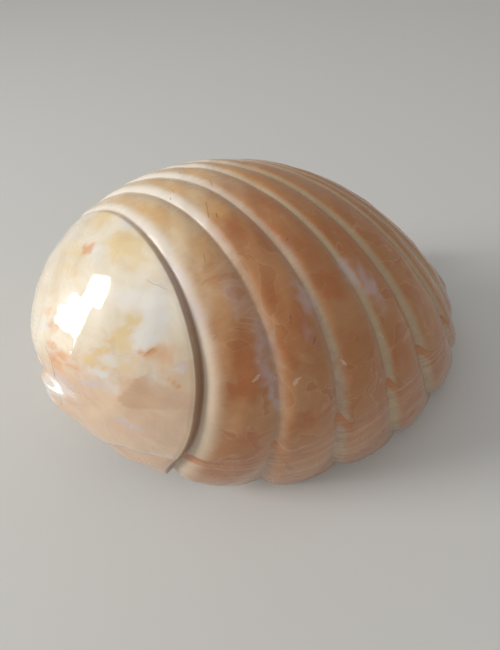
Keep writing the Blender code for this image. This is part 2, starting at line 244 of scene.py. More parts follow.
# Violet-grey patches: lavender tints on the cap, and streaks along the coves that are painted sheen.
VIOLET_AND_SHEEN = (
    (156, 143, 5, 3.2, 0.9), (196, 102, 7, 1.8, 1.0), (208, 98, 4, 1.8, 0.8),
    (324, 172, 3, 1.6, 0.6), (428, 128, 2.5, 6, 0.9), (433, 146, 3, 9, 0.8), (436, 162, 3, 8, 0.6),
    (652, 164, 3, 8, 0.9), (632, 180, 3, 8, 0.8), (536, 180, 2.5, 9, 0.7), (560, 206, 2.5, 8, 0.4),
    (100, 125, 9, 3, 0.9), (166, 148, 4, 3, 1.0), (70, 100, 5, 8, 0.8), (382, 240, 3, 10, 0.7),
    (376, 208, 3, 10, 0.6), (444, 205, 5, 9, 0.5), (450, 170, 3, 8, 0.6), (516, 160, 3, 8, 0.5),
)
PATCH_SPREAD = 1.25  # a patch reaches so many times its radii
PATCH_FALL = 1.2
# Pits, scratches and cracks: from, to, half width in mm, darkness.
FLAWS = (
    ((284, 186), (296, 189), 0.5, 0.45), ((340, 246), (347, 240), 0.16, 0.75),
    ((347, 240), (356, 232), 0.16, 0.7), ((356, 238), (358, 231), 0.16, 0.7),
    ((352, 238), (355, 233), 0.13, 0.6), ((82, 200), (78, 160), 0.26, 0.9),
    ((78, 160), (64, 112), 0.5, 1.3), ((94, 176), (76, 128), 0.24, 0.8),
    ((68, 72), (60, 30), 0.24, 0.6), ((502, 275), (485, 262), 0.3, 0.8),
    ((530, 285), (524, 280), 0.3, 0.8), ((548, 296), (541, 289), 0.32, 0.7),
    ((500, 261), (497, 258), 0.42, 0.9), ((438, 240), (433, 235), 0.26, 0.8),
    ((464, 302), (463, 301), 0.36, 0.9), ((532, 328), (530, 327), 0.36, 0.9),
    ((480, 308), (477, 303), 0.26, 0.6), ((648, 270), (645, 265), 0.3, 0.6),
    ((570, 219), (565, 218), 0.28, 0.8), ((502, 174), (497, 170), 0.32, 0.9),
    ((523, 154), (515, 151), 0.42, 0.7), ((587, 140), (580, 138), 0.36, 0.8),
    ((514, 109), (511, 107), 0.42, 0.7), ((501, 77), (498, 74), 0.32, 0.8),
    ((403, 84), (400, 82), 0.3, 0.4), ((592, 182), (584, 184), 0.26, 0.7),
    ((712, 236), (706, 231), 0.24, 0.7),
)


# --- outline and spiral ---
def rise(value, start, end):
    """A smooth step: 0 up to the start, 1 from the end on."""
    part = np.clip((value - start) / (end - start), 0.0, 1.0)
    return part * part * (3.0 - 2.0 * part)


def fall(value, start, end):
    """A smooth step: 1 up to the start, 0 from the end on."""
    return 1.0 - rise(value, start, end)


def curve_through(table, value):
    """Second column of a table at a value of its first, in straight runs."""
    return np.interp(value, [row[0] for row in table], [row[1] for row in table])


def lengths_along(points):
    """Distance of each point from the first, along straight runs."""
    steps = np.linalg.norm(np.diff(points, axis=0), axis=1)
    return np.concatenate([[0.0], np.cumsum(steps)])


def smooth_path(points, count, fine_count=4000):
    """A natural cubic spline through the points, sampled evenly along its length."""
    points = np.array(points, float)
    chord = lengths_along(points)
    gaps = np.diff(chord)
    system = np.eye(len(points))
    wanted = np.zeros_like(points)
    for i in range(1, len(points) - 1):
        before = (points[i] - points[i - 1]) / gaps[i - 1]
        after = (points[i + 1] - points[i]) / gaps[i]
        system[i, i - 1:i + 2] = gaps[i - 1], 2 * (gaps[i - 1] + gaps[i]), gaps[i]
        wanted[i] = 6 * (after - before)
    bend = np.linalg.solve(system, wanted)
    at = np.linspace(0.0, chord[-1], fine_count)
    k = np.clip(np.searchsorted(chord, at, side="right") - 1, 0, len(gaps) - 1)
    left = (chord[k + 1] - at)[:, None]
    right = (at - chord[k])[:, None]
    gap = gaps[k][:, None]
    fine = ((bend[k] * left ** 3 + bend[k + 1] * right ** 3) / (6 * gap)
            + (points[k] / gap - bend[k] * gap / 6) * left
            + (points[k + 1] / gap - bend[k + 1] * gap / 6) * right)
    run = lengths_along(fine)
    marks = np.interp(chord, at, run)
    even = np.linspace(0.0, run[-1], count)
    path = np.stack([np.interp(even, run, fine[:, i]) for i in range(2)], axis=1)
    return even, path, marks


RUN, PATH, MARKS = smooth_path(OUTLINE, 3000)
POSITION = (RUN - MARKS[SUTURE_POINT]) / (MARKS[TIP_POINT] - MARKS[SUTURE_POINT])
NORMAL = np.gradient(PATH, axis=0)[:, ::-1] * (-1.0, 1.0)
NORMAL /= np.linalg.norm(NORMAL, axis=1)[:, None]
RUN_LENGTH = (MARKS[TIP_POINT] - MARKS[SUTURE_POINT]) * UNIT


def on_outline(position, depth=0.0):
    """The outline's point at a position, moved inward by a depth in UNIT."""
    return [np.interp(position, POSITION, PATH[:, i]) - depth * np.interp(position, POSITION, NORMAL[:, i])
            for i in range(2)]


def place(angle, along, away):
    """World place of an outline point carried to a turn angle."""
    size = UNIT * TURN_GROWTH ** ((angle - SIZE_ANGLE) / 360.0)
    turn = np.radians(angle)
    dip = math.radians(AXIS_DIP)
    side = away * np.cos(turn) * size
    up = away * np.sin(turn) * size
    x = along * size * math.cos(dip) + up * math.sin(dip)
    z = APEX_HEIGHT * UNIT - along * size * math.sin(dip) + up * math.cos(dip)
    return np.stack([x - ORIGIN[0], side - ORIGIN[1], z], axis=-1)


def lip_angle(position, along, away):
    """Turn angle of the lip: on the resting plane, and rising to the suture behind it."""
    low = np.full(len(along), LIP_SEARCH[0])
    high = np.full(len(along), LIP_SEARCH[1])
    for _ in range(LIP_HALVINGS):
        middle = (low + high) / 2
        above = place(middle, along, away)[:, 2] > 0.0
        low = np.where(above, middle, low)
        high = np.where(above, high, middle)
    down = rise(position, 0.0, LIP_DOWN)
    return SUTURE_ANGLE * (1.0 - down) + high * down


def turned_back(position, turns):
    """Turns behind the straight lip, after its anterior corner has been rounded off."""
    part = np.clip((position - LIP_RISE_FROM) / (LIP_CORNER - LIP_RISE_FROM), 0.0, 1.0)
    return turns + LIP_RISE * part ** LIP_RISE_BEND * fall(turns, 0.0, LIP_RISE_TURNS)


def row_angles(position, along, away, turns):
    """Turn angle of each point of a row that is so many turns behind the lip."""
    return lip_angle(position, along, away) - 360.0 * turned_back(position, turns)


# --- carving ---
def groove_line(at_lip, turns):
    """Outline position of the groove that reaches the lip at at_lip, so many turns back."""
    back = 2.0 * turns
    if back > WIND_SLOWS_FROM:
        slowed = 1.0 - math.exp((WIND_SLOWS_FROM - back) / WIND_SLOWS_OVER)
        back = WIND_SLOWS_FROM + WIND_SLOWS_OVER * slowed
    off = at_lip - GROOVE_MIDDLE
    sweep = (SWEEP[0] + SWEEP[1] * off + SWEEP[2] * off * off) * (1.0 - math.exp(-back / SWEEP_OVER))
    hook = (HOOK[0] + HOOK[1] * off) * (math.exp(-back / HOOK_OVER) - 1.0)
    return at_lip + sweep + hook - WIND * back


def groove_lines(turns):
    """Outline positions of all grooves, so many turns back. The first is the cap's rim."""
    lines = np.array([groove_line(at_lip, turns) for at_lip in GROOVES])
    lines[0] += curve_through(RIM_STRAY, turns)
    return lines


def anterior_edge(turns):
    """Outline position where the wall ends, so many turns back."""
    return LIP_CORNER + (NOTCH_END - LIP_CORNER) * float(rise(turns, 0.0, NOTCH_TURNS))


def groove_depths(lines, turns):
    """Depth of each groove in UNIT, before it shrinks with its whorl."""
    fade = float(fall(turns, *CARVING_FADES))
    widths = np.diff(lines)
    widths = np.append(widths, widths[-1])
    depths = CARVE_DEPTH * widths * RUN_LENGTH / UNIT * fade
    back = float(rise(turns, *CAP_STEP_FADE))
    depths[0] = CAP_STEP / UNIT * fade * (1.0 - (1.0 - CAP_STEP_BACK) * back)
    return depths


def column_positions(turns):
    """Outline position of each column of a row, with its groove lines and anterior edge."""
    lines = groove_lines(turns)
    edge = anterior_edge(turns)
    near_rim = lines[0] - RIM_WIDTHS * CAP_WALL / RUN_LENGTH
    parts = [np.linspace(POSTERIOR_EDGE, CAP_START, SUTURE_COLUMNS)[:-1],
             np.linspace(CAP_START, near_rim, CAP_COLUMNS)[:-1],
             np.linspace(near_rim, lines[0], RIM_COLUMNS)]
    last = GROOVES_AT_LIP - 1
    for start, end in zip(lines[:last], lines[1:last + 1]):
        parts.append(start + (end - start) * RIB_PARTS)
    far = np.concatenate([start + (end - start) * FAR_PARTS
                          for start, end in zip(lines[last:], lines[last + 1:])])
    # what would lie past the anterior edge is crowded together just before it
    limit = edge - END_WIDTH
    gap = min(FAR_GAP, (limit - lines[last]) / (len(far) + 2))
    far = np.minimum(far, limit - gap * np.arange(len(far), 0, -1))
    parts.append(far)
    parts.append(np.linspace(far[-1], edge, END_COLUMNS + 1)[1:])
    return np.concatenate(parts), lines, edge


def carve(at, lines, edge, turns):
    """Depth of the carving in UNIT, and the place across the rib from its nearest groove."""
    depths = groove_depths(lines, turns)
    extended = np.append(lines, 2.0 * lines[-1] - lines[-2])
    deep = np.append(depths, 0.0)
    j = np.clip(np.searchsorted(lines, at, side="right") - 1, 0, len(lines) - 1)
    part = np.clip((at - extended[j]) / (extended[j + 1] - extended[j]), 0.0, 1.0)
    cove = np.maximum(0.0, 1.0 - part / RIB_COVE) ** COVE_BEND
    back = np.maximum(0.0, (part - RIB_CREST) / (1.0 - RIB_CREST)) ** BACK_BEND
    depth = deep[j] * cove + deep[j + 1] * back
    # the smooth cap ends in a crisp rim and a steep wall
    wall = (at - lines[0]) * RUN_LENGTH / CAP_WALL + 1.0
    slope = CAP_WALL_STRAIGHT * np.clip(wall, 0.0, 1.0)
    slope = slope + (1.0 - CAP_WALL_STRAIGHT) * rise(wall, 0.0, 1.0)
    rim = deep[0] * (slope + CAP_SAG * rise(wall, CAP_SAG_FROM, 0.0))
    on_cap = at < lines[0]
    depth = np.where(on_cap, np.minimum(rim, deep[0]), depth)
    depth = depth * rise(edge - at, 0.0, CARVING_MARGIN)
    across = np.where(part > 0.5, part - 1.0, part)
    across = np.where(on_cap, np.maximum(-0.5, (at - lines[0]) / CAP_RIB), across)
    return depth, across


def wall_thickness(at, edge, size):
    """Thickness of the wall in UNIT, before it shrinks with its whorl."""
    middle = rise(at - POSTERIOR_EDGE, 0.0, WALL_THINS[0]) * rise(edge - at, 0.0, WALL_THINS[1])
    return WALL / UNIT * (WALL_EDGE + (1.0 - WALL_EDGE) * middle) * size ** WALL_POWER


def plain_line(turns, count):
    """Outline positions across an uncarved sheet, closer together at its curved edges."""
    edge = anterior_edge(turns)
    even = np.linspace(0.0, 1.0, count)
    spread = even - EDGE_CROWDING * np.sin(2.0 * math.pi * even)
    return POSTERIOR_EDGE + (edge - POSTERIOR_EDGE) * spread


# --- fine shape and markings ---
def check_turn(at, across):
    """How many turns behind the lip the growth check runs."""
    notch = CHECK_NOTCH * np.exp(-(across / CHECK_NOTCH_WIDTH) ** 2)
    return curve_through(CHECK, at) + notch * rise(at, *CHECK_NOTCHED)


def ripples(u, v):
    """Height in mm of the long ripples, at a place in mm on the unrolled surface."""
    total = np.zeros_like(u)
    for height, across, back, phase in RIPPLES:
        total += height * np.sin(2 * math.pi * (u / across + v / back) + phase)
    return total


def fine_depth(at, edge, check, turns):
    """Depth in UNIT of the ripples, the growth check, and the flare and dent by the suture."""
    step = CHECK_STEP / MM * rise(check, *CHECK_STEP_MM)
    step = step * (1.0 - CHECK_REGAIN * rise(check, *CHECK_REGAIN_MM))
    crease = CREASE * np.exp(-(check / CREASE_WIDTH) ** 2)
    uneven = ripples(at * RUN_LENGTH / MM, np.full_like(at, turns * GIRTH / MM))
    uneven = uneven + (step + crease) * fall(turns, *CHECK_ENDS)
    shown = rise(at, *FINE_FROM) * rise(edge - at, 0.0, FINE_MARGIN)
    extra = (uneven * shown * MM + SLACK * (0.5 + 0.5 * shown)) / UNIT * fall(turns, *FINE_ENDS)
    flared = fall(turns, *FLARE_TURNS)
    dented = (1.0 - flared) * fall(turns, *DENT_TURNS)
    by_suture = rise(at - POSTERIOR_EDGE, 0.0, SUTURE_TUCK) * fall(at, *SUTURE_STRIP)
    return extra + (DENT * dented - FLARE * flared) / UNIT * by_suture


def lip_rounding(thick, depth, lift):
    """How far the lip's edge closes in from a depth, in UNIT."""
    return 0.5 * np.maximum(thick - depth, LEAST_LEFT * thick) * (1.0 - lift)


def margin_rounding(at, edge, thick):
    """How far the anterior margin closes in, in UNIT."""
    part = np.clip((edge - at) * RUN_LENGTH / UNIT / (0.5 * thick), 0.0, 1.0)
    return 0.5 * thick * (1.0 - np.sqrt(np.maximum(0.0, 1.0 - (1.0 - part) ** 2)))


def stray(u, v):
    """How far the outline of a patch strays, in mm."""
    across = 1.1 * np.sin(0.61 * u + 1.3 * np.sin(0.37 * v)) + 0.6 * np.sin(1.13 * v + 0.4 * u)
    back = 1.4 * np.sin(0.47 * v + 1.7 * np.sin(0.53 * u)) + 0.7 * np.sin(1.31 * u - 0.3 * v)
    return across, back


def patches(at, turns, marks):
    """Strength of a list of soft patches, with ragged edges."""
    u = at * RUN_LENGTH / MM
    v = np.full_like(at, turns * GIRTH / MM)
    stray_u, stray_v = stray(u, v)
    total = np.zeros_like(at)
    for where, when, wide, high, strength in marks:
        du = (u + stray_u - where * RUN_LENGTH) / (PATCH_SPREAD * wide)
        dv = (v + stray_v - when * GIRTH) / (PATCH_SPREAD * high)
        total = np.maximum(total, strength * np.exp(-PATCH_FALL * (du * du + dv * dv)))
    return total


def leaf(at, turns):
    """1 in the cap's tan leaf, 0 half a millimetre outside it."""
    newest = curve_through(LEAF, at)
    oldest = curve_through([(p[0], p[2]) for p in LEAF], at)
    inside = np.minimum(turns - newest, oldest - turns) * GIRTH / MM
    strength = rise(inside, -0.5, 0.5) * (1.0 - LEAF_PALER_BY * rise(at, *LEAF_PALER))
    return np.where(at < LEAF[0][0], 0.0, strength)


# --- meshes ---
class Builder:
    """Collects vertices with their attributes, and faces."""

    # turn and at: the place. near: how far from a groove, by the rib's width. side: -1 before
    # it, 1 past it. check: mm lipward of the growth check. rim: mm past the cap's rim. first:
    # the first rib and the cap's leaf. gold is also on the columella's folds.
    NAMES = ("turn", "at", "near", "side", "check", "rim", "first", "inside", "amber", "gold",
             "milk", "violet_and_sheen")

    def __init__(self):
        self.points = []
        self.values = []
        self.faces = []
        self.count = 0

    def add(self, points, **values):
        """Add a line of points with their attributes, and return their numbers."""
        row = np.zeros((len(points), len(self.NAMES)))
        for k, name in enumerate(self.NAMES):
            if name in values:
                row[:, k] = values[name]
        self.points.append(points)
        self.values.append(row)
        index = np.arange(self.count, self.count + len(points))
        self.count += len(points)
        return index

    def join_evenly(self, a, b):
        """Quads between two lines of the same number of points."""
        self.faces.append(np.stack([a[:-1], a[1:], b[1:], b[:-1]], axis=1))

    def join(self, a, b):
        """Triangles between two lines of any number of points, along the shorter diagonals."""
        all_points = np.concatenate(self.points)
        pa, pb = all_points[a], all_points[b]
        i = j = 0
        made = []
        while i < len(a) - 1 or j < len(b) - 1:
            step = j == len(b) - 1
            if not step and i < len(a) - 1:
                step = np.sum((pa[i + 1] - pb[j]) ** 2) < np.sum((pa[i] - pb[j + 1]) ** 2)
            if step:
                made.append((a[i], a[i + 1], b[j], b[j]))
                i += 1
            else:
                made.append((b[j + 1], b[j], a[i], a[i]))
                j += 1
        self.faces.append(np.array(made))

    def close(self, ring, middle):
        """Triangles between a closed ring and a point."""
        hub = np.full(len(ring), middle)
        self.faces.append(np.stack([ring, np.append(ring[1:], ring[0]), hub, hub], axis=1))

    def mesh(self, name):
        points = np.concatenate(self.points)
        values = np.concatenate(self.values)
        faces = np.concatenate(self.faces)
        faces = [tuple(f[:3]) if f[2] == f[3] else tuple(f) for f in faces.tolist()]
        mesh = bpy.data.meshes.new(name)
        mesh.from_pydata(points.tolist(), [], faces)
        for k, attribute in enumerate(self.NAMES):
            layer = mesh.attributes.new(attribute, "FLOAT", "POINT")
            layer.data.foreach_set("value", values[:, k])
        mesh.validate()
        mesh.shade_smooth()
        return mesh


# attributes of every inner point, and of every point of the older turns' outside
INSIDE = dict(inside=1.0, check=-20.0)
OLDER = dict(near=0.5, check=-99.0)


def outer_row(turns, lift):
    """One row of the carved outside. lift goes from 0 at the lip's edge to 1 behind it."""
    at, lines, edge = column_positions(turns)
    size = TURN_GROWTH ** -turns
    depth, across = carve(at, lines, edge, turns)
    check = (check_turn(at, across) - turns) * GIRTH / MM
    thick = wall_thickness(at, edge, size)
    total = depth + fine_depth(at, edge, check, turns)
    total = total + lip_rounding(thick, total, lift) + margin_rounding(at, edge, thick)
    along, away = on_outline(at, total)
    angles = row_angles(at, along, away, turns)
    # the grooves nick the lip's edge
    nick = np.minimum(depth / (CAP_STEP / UNIT) * fall(at, *NICK_FADES), 1.0)
    nick = nick * math.exp(-turns * GIRTH / NICK_REACH)
    angles -= np.degrees(LIP_NICK / (LIP_RADIUS * UNIT)) * nick
    past_rim = (at - lines[0]) * RUN_LENGTH / MM
    first_rib = rise((lines[1] - at) * RUN_LENGTH / MM, 0.0, FIRST_RIB_END)
    values = dict(turn=turns, at=at, near=np.abs(across), side=np.clip(across / SIDE_WIDTH, -1.0, 1.0),
                  check=check, rim=past_rim * size,
                  first=np.where(past_rim < 0.0, leaf(at, turns), first_rib),
                  amber=patches(at, turns, AMBER), gold=patches(at, turns, GOLD),
                  milk=patches(at, turns, MILK), violet_and_sheen=patches(at, turns, VIOLET_AND_SHEEN))
    return place(angles, along, away), values, (at, depth)


def inner_row(turns, lift=1.0, carved=None):
    """One row of the inside. carved holds the outside's columns and their depths."""
    at = plain_line(turns, INNER_COLUMNS)
    edge = anterior_edge(turns)
    thick = wall_thickness(at, edge, TURN_GROWTH ** -turns)
    depth = np.interp(at, *carved) if carved else 0.0
    total = thick - lip_rounding(thick, depth, lift) * LIP_MEETING
    total = total - margin_rounding(at, edge, thick)
    along, away = on_outline(at, total)
    return place(row_angles(at, along, away, turns), along, away), dict(turn=turns, at=at, **INSIDE)


def old_row(turns):
    """One row of the outside of the older turns, which are hidden or plain."""
    at = plain_line(turns, OLD_COLUMNS)
    along, away = on_outline(at)
    rim = (at - groove_lines(turns)[0]) * RUN_LENGTH / MM * TURN_GROWTH ** -turns
    points = place(lip_angle(at, along, away) - 360.0 * turns, along, away)
    return points, dict(turn=turns, at=at, rim=rim, **OLDER)


def row_places():
    """Turns and lift of each carved row: round the lip's edge, then closest where newest."""
    arc = np.radians(LIP_ARC)
    rows = [(LIP_ROUNDING * (1.0 - math.cos(a)) / GIRTH, math.sin(a)) for a in arc]
    turns = LIP_ROUNDING / GIRTH
    while turns < ROW_STEPS[-1][0]:
        rows.append((turns, 1.0))
        turns += next(step for until, step in ROW_STEPS if turns < until)
    return rows


def build_wall():
    """The whole wall: its outside, its inside, and the margins between them."""
    made = Builder()
    outer = []
    inner = []
    rows = row_places()
    for k, (turns, lift) in enumerate(rows):
        points, values, carved = outer_row(turns, lift)
        outer.append(made.add(points, **values))
        if k > 0:
            made.join_evenly(outer[-2], outer[-1])
        if k <= len(LIP_ARC) or k % INNER_ROW_EVERY == 0 or k == len(rows) - 1:
            points, values = inner_row(turns, lift, carved)
            inner.append(made.add(points, **values))
    old = []
    for turns in np.linspace(OLD_FROM, WALL_END, OLD_ROWS):
        points, values = old_row(turns)
        old.append(made.add(points, **values))
        points, values = inner_row(turns)
        inner.append(made.add(points, **values))
    made.join(outer[-1], old[0])
    for a, b in zip(old, old[1:]):
        made.join_evenly(a, b)
    for a, b in zip(inner, inner[1:]):
        made.join_evenly(b, a)
    outer += old
    made.join(np.array([r[0] for r in outer]), np.array([r[0] for r in inner]))
    made.join(np.array([r[-1] for r in inner]), np.array([r[-1] for r in outer]))
    made.join(inner[0], outer[0])
    made.join(outer[-1], inner[-1])
    return made.mesh("shell_wall")


def pillar_radius(along, angle):
    """Radius of the columella, with its folds winding as the shell grew, and the folds."""
    turns = along / FOLD_PITCH - angle / 360.0
    oval = OVAL * rise(along, *OVAL_FROM) * np.cos(2.0 * math.pi * (turns + OVAL_PHASE))
    phase = (turns * FOLD_COUNT + FOLD_PHASE) % 1.0 - 0.5
    fold = np.maximum(0.0, 1.0 - (phase / FOLD_HALF) ** 2) ** 2
    fold = fold * rise(along, *FOLDS_START) * fall(along, *FOLDS_STOP)
    return curve_through(PILLAR, along) * (1.0 + oval) + FOLD_HEIGHT * fold, fold


def build_pillar():
    """The columella: rings along the coiling axis, closed at both ends."""
    made = Builder()
    k = np.arange(PILLAR_SIDES)
    angle = SIZE_ANGLE - 360.0 * k / PILLAR_SIDES
    size = TURN_GROWTH ** (-k / PILLAR_SIDES)
    rings = []
    for along in PILLAR_STATIONS:
        radius, fold = pillar_radius(np.full(PILLAR_SIDES, along), angle)
        points = place(angle, along / size, radius / size)
        rings.append(made.add(points, turn=2.0, at=along, gold=fold, **INSIDE))
    for near, far in zip(rings, rings[1:]):
        made.join_evenly(np.append(far, far[0]), np.append(near, near[0]))
    for ring, along in ((rings[0], PILLAR_STATIONS[0]), (rings[-1][::-1], PILLAR_STATIONS[-1])):
        centre = place(np.array([0.0]), np.array([along * TURN_GROWTH ** (SIZE_ANGLE / 360.0)]),
                       np.array([0.0]))
        made.close(ring, made.add(centre, turn=2.0, at=along, **INSIDE)[0])
    return made.mesh("columella")


# --- colours, as seen on a screen; of two, noise or place picks between them ---
YOUNG_RIB = (200, 147, 102), (188, 128, 80)
RIB_PINK = (208, 158, 118)
RIB_DEEP_AND_SHADED = (177, 118, 70)
# deeper orange of the ribs toward the anterior end: partly their own colour, partly painted shade of that
# side
RIB_NEWEST = (184, 114, 64)
RIB_AMBER = (184, 108, 58)
RIB_GOLD = (220, 168, 104)
OLD_RIB = (228, 208, 174), (218, 188, 146)
MOTTLE = (176, 104, 58)
MOTTLE_OUTLINE = (216, 180, 148)
IVORY = (238, 227, 206), (228, 212, 186)
TAN = (219, 184, 154), (226, 194, 162)
CAP_LEAF = (208, 168, 136)
CAP_NEWEST = (226, 178, 136)
CAP_BEHIND_CHECK = (222, 206, 190)
CAP_MILK = (234, 231, 227)
CAP_GOLD = (232, 202, 142)
CAP_AMBER = (220, 154, 98)
BAND = (198, 176, 152), (186, 158, 136)
BAND_ANTERIOR = (194, 176, 142)
# grey of a rib's slope down to the next groove: partly a grey tint, partly painted shade
GREY_AND_SHADE_BEHIND = (186, 162, 140)
WIDE_BAND = (218, 204, 182), (232, 226, 218)
# violet-grey: a lavender tint on the cap, painted sheen along the coves
VIOLET_GREY_AND_SHEEN = (208, 195, 205)
# brown of the steep wall under the cap's rim: a stain, and partly painted shade of that recess
STEP_BROWN_AND_SHADE = (152, 110, 82)
GROWTH_DARK = (146, 92, 60)
GROWTH_PALE = (236, 212, 180)
CHECK_LINE = (160, 92, 58), (156, 134, 130)
BROKEN_COVE = (206, 134, 84)
LIP_CREAM = (244, 232, 216)
FLAW_BROWN = (120, 78, 52)
WITHIN = (238, 218, 190), (226, 184, 142)
FOLD_CREAM = (244, 230, 208)

COLOURS_FADE = (0.65, 0.90)  # turns between which the carving's colours fade out


# --- material; below, s is its shader ---
def linear(seen):
    """Linear values of a colour as seen on a screen."""
    return tuple(((c / 255 + 0.055) / 1.055) ** 2.4 for c in seen) + (1.0,)


class Shader:
    """A material's node tree, written as sums."""

    MIX_INPUTS = (0, 6, 7)  # the factor and the two colours of a mix node
    MIX_OUTPUT = 2

    def __init__(self, material):
        material.use_nodes = True
        self.tree = material.node_tree
        self.surface = self.tree.nodes["Principled BSDF"]

    def feed(self, socket, value):
        """Link a socket to another one, or set it to a constant."""
        if isinstance(value, bpy.types.NodeSocket):
            self.tree.links.new(value, socket)
        else:
            socket.default_value = value

    def node(self, kind, *inputs, **settings):
        """A new node with these settings, and its inputs fed in order."""
        made = self.tree.nodes.new(kind)
        for name, setting in settings.items():
            setattr(made, name, setting)
        for socket, value in zip(made.inputs, inputs):
            self.feed(socket, value)
        return made

    def math(self, operation, a, b=0.0, c=0.0, clamp=False):
        made = self.node("ShaderNodeMath", a, b, c, operation=operation, use_clamp=clamp)
        return made.outputs[0]

    def times(self, a, b):
        return self.math("MULTIPLY", a, b)

    def scaled(self, value, factor, offset):
        """The value times a factor, plus an offset."""
        return self.math("MULTIPLY_ADD", value, factor, offset)

    def vector(self, operation, a, b=(0.0, 0.0, 0.0), output=0):
        return self.node("ShaderNodeVectorMath", a, b, operation=operation).outputs[output]

    def combine(self, x, y):
        return self.node("ShaderNodeCombineXYZ", x, y, 0.0).outputs[0]

    def attribute(self, name):
        return self.node("ShaderNodeAttribute", attribute_name=name).outputs["Fac"]

    def ramp(self, value, low, high, to_low=0.0, to_high=1.0):
        """A smooth step from to_low to to_high, as the value goes from low to high."""
        made = self.node("ShaderNodeMapRange", value, low, high, to_low, to_high,
                         interpolation_type="SMOOTHSTEP")
        return made.outputs["Result"]

    def fall(self, value, low, high):
        """1 up to the low value, 0 from the high one on."""
        return self.ramp(value, low, high, 1.0, 0.0)

    def stripe(self, value, start, full, waning, end):
        """1 from full to waning, 0 before the start and after the end."""
        return self.times(self.ramp(value, start, full), self.fall(value, waning, end))

    def noise(self, vector, scale, detail, rough, distortion=0.0):
        made = self.node("ShaderNodeTexNoise", vector)
        for name, number in (("Scale", scale), ("Detail", detail), ("Roughness", rough),
                             ("Distortion", distortion)):
            made.inputs[name].default_value = number
        return made.outputs["Fac"]

    def mix(self, factor, a, b):
        """Colour a where the factor is 0, b where it is 1."""
        made = self.node("ShaderNodeMix", data_type="RGBA")
        for index, value in zip(self.MIX_INPUTS, (factor, a, b)):
            self.feed(made.inputs[index], linear(value) if isinstance(value, tuple) else value)
        return made.outputs[self.MIX_OUTPUT]

    def stain(self, base, tint, amount, part):
        """The base with a tint over it, by an amount and a part of it."""
        return self.mix(self.times(amount, part), base, tint)

    def segment(self, where, start, end, width):
        """1 on the line between two places, 0 from 1.3 times its half width in mm on."""
        first, last = (Vector((p[0] * RUN_LENGTH, p[1] * GIRTH, 0.0)) for p in (start, end))
        way = last - first
        off = self.vector("SUBTRACT", where, first)
        part = self.vector("DOT_PRODUCT", off, way / way.length_squared, output=1)
        part = self.math("ADD", part, 0.0, clamp=True)
        foot = self.node("ShaderNodeVectorMath", way, operation="SCALE")
        self.feed(foot.inputs["Scale"], part)
        gap = self.vector("LENGTH", self.vector("SUBTRACT", off, foot.outputs[0]), output=1)
        return self.fall(gap, 0.25 * width, 1.3 * width)


def read_surface(s):
    """Keep on the shader what several layers read."""
    s.turn = s.attribute("turn")
    s.at = s.attribute("at")
    s.inside = s.attribute("inside")
    s.space = s.node("ShaderNodeTexCoord").outputs["Object"]
    s.medium = s.noise(s.space, 70.0, 5.0, 0.6, 1.2)
    s.small = s.noise(s.space, 240.0, 4.0, 0.6, 0.6)
    s.flaws = draw_flaws(s)
    s.check = s.attribute("check")
    s.rim = s.attribute("rim")
    s.near = s.attribute("near")
    s.side = s.attribute("side")
    streaks = s.combine(s.times(s.at, 2.5), s.times(s.turn, 300.0))
    s.growth = s.noise(streaks, 1.0, 5.0, 0.65, 0.3)
    s.coarse = s.noise(s.space, 26.0, 4.0, 0.55, 0.8)
    both = s.math("ADD", s.times(s.medium, 0.65), s.times(s.small, 0.35))
    s.ragged = s.math("SUBTRACT", both, 0.5)
    s.amber = patch(s, "amber")
    s.gold = patch(s, "gold")
    s.milk = patch(s, "milk")


def draw_flaws(s):
    """Pits, scratches and cracks. Drawn later, they would overfill what Cycles can hold."""
    skin = s.combine(s.times(s.at, RUN_LENGTH / MM), s.times(s.turn, GIRTH / MM))
    crooked = s.combine(s.scaled(s.small, 1.6, -0.8), s.scaled(s.medium, 2.0, -1.0))
    bent = s.vector("ADD", skin, crooked)
    flaws = None
    for start, end, width, dark in FLAWS:
        flaw = s.times(s.segment(bent, start, end, width), dark)
        flaws = flaw if flaws is None else s.math("MAXIMUM", flaws, flaw)
    flaws = s.times(flaws, s.fall(s.inside, 0.2, 0.6))
    return s.times(flaws, s.ramp(s.small, 0.30, 0.48))


def patch(s, name):
    """One list of soft patches, with its edges broken up."""
    return s.ramp(s.scaled(s.ragged, 0.75, s.attribute(name)), 0.08, 0.85)


def rib_colour(s):
    """Cream on the older part of the turn, orange toward the lip, deeper toward the anterior end partly as
    painted shade.
    """
    past = s.math("MAXIMUM", s.math("SUBTRACT", s.at, 0.40), 0.0)
    onset = s.scaled(s.math("MINIMUM", past, 0.25), 0.45, 0.185)
    age = s.math("SUBTRACT", s.turn, s.scaled(s.ragged, -0.12, onset))
    s.old = s.ramp(age, -0.02, 0.10)
    young = s.mix(s.ramp(s.coarse, 0.38, 0.64), *YOUNG_RIB)
    young = s.stain(young, RIB_PINK, s.ramp(s.medium, 0.52, 0.70), 0.5)
    old = s.mix(s.ramp(s.coarse, 0.36, 0.66), *OLD_RIB)
    # toward the anterior end the ribs turn a deeper orange, partly painted shade of that side
    young = s.mix(s.ramp(s.at, 0.42, 0.66, 0.0, 0.55), young, RIB_DEEP_AND_SHADED)
    rib = s.mix(s.old, young, old)
    s.newest = s.ramp(s.check, 0.0, 2.0)
    rib = s.stain(rib, RIB_NEWEST, s.newest, 0.35)
    rib = mottled(s, rib)
    rib = s.stain(rib, RIB_AMBER, s.amber, 0.75)
    return s.stain(rib, RIB_GOLD, s.gold, 0.55)


def mottled(s, rib):
    """Sharp-edged leaves of a deeper orange, with pale outlines."""
    leaves = s.noise(s.space, 62.0, 2.0, 0.45, 1.4)
    lately = s.ramp(s.turn, 0.19, 0.27, 1.0, 0.2)
    rib = s.stain(rib, MOTTLE, s.ramp(leaves, 0.545, 0.575, 0.0, 0.34), lately)
    outline = s.math("ABSOLUTE", s.math("SUBTRACT", leaves, 0.56))
    return s.stain(rib, MOTTLE_OUTLINE, s.ramp(outline, 0.0, 0.016, 0.32, 0.0), lately)


